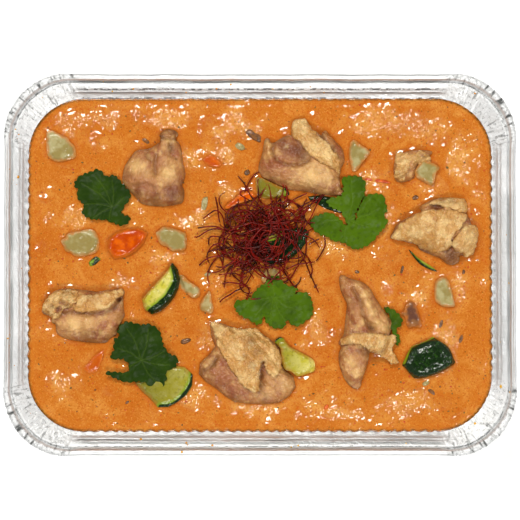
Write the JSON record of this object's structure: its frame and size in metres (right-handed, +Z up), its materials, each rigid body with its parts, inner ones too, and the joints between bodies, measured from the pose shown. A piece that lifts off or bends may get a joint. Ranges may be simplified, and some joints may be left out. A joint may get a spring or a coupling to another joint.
{
  "type": "chicken curry in a foil tray",
  "caption": "Creamy orange chicken curry with vegetables, coriander leaves and chilli threads in a shallow rectangular foil tray.",
  "frame": {"origin": "middle of the tray's flat base, on its underside", "axes": "+X along the tray's length, +Y along its width towards the back, +Z up out of the open top"},
  "size_m": [0.216, 0.161, 0.0389],
  "materials": {
    "foil": "thin wrinkled aluminium foil, bright, fluted walls and crimped corners",
    "sauce": "creamy orange sauce, wet gloss, fine red and dark specks",
    "chicken": "cooked thigh meat, pale tan to pinkish brown, with soft golden skin, moist",
    "potato": "pale translucent boiled dice, moist",
    "carrot": "cooked orange carrot, moist",
    "zucchini": "yellow-green flesh with a glossy dark green skin",
    "aubergine": "soft brown flesh with a purplish edge",
    "coriander": "fresh green leaf with fine veins",
    "chilli": "dry dark red chilli threads"
  },
  "bodies": {
    "root": {"foil_tray": "foil", "curry_sauce": "sauce", "chicken_1": "chicken", "chicken_2": "chicken", "chicken_3": "chicken", "chicken_4": "chicken", "chicken_5": "chicken", "chicken_6": "chicken", "chicken_7": "chicken", "potato_1": "potato", "potato_2": "potato", "potato_3": "potato", "potato_4": "potato", "potato_5": "potato", "potato_6": "potato", "potato_7": "potato", "potato_8": "potato", "potato_9": "potato", "carrot_1": "carrot", "carrot_2": "carrot", "carrot_3": "carrot", "carrot_4": "carrot", "zucchini_1": "zucchini", "zucchini_2": "zucchini", "zucchini_3": "zucchini", "zucchini_4": "zucchini", "zucchini_5": "zucchini", "zucchini_6": "zucchini", "zucchini_7": "zucchini", "zucchini_8": "zucchini", "aubergine_1": "aubergine", "chilli_threads": "chilli", "coriander_1": "coriander", "coriander_2": "coriander", "coriander_3": "coriander", "coriander_4": "coriander", "coriander_5": "coriander"}
  },
  "joints": []
}
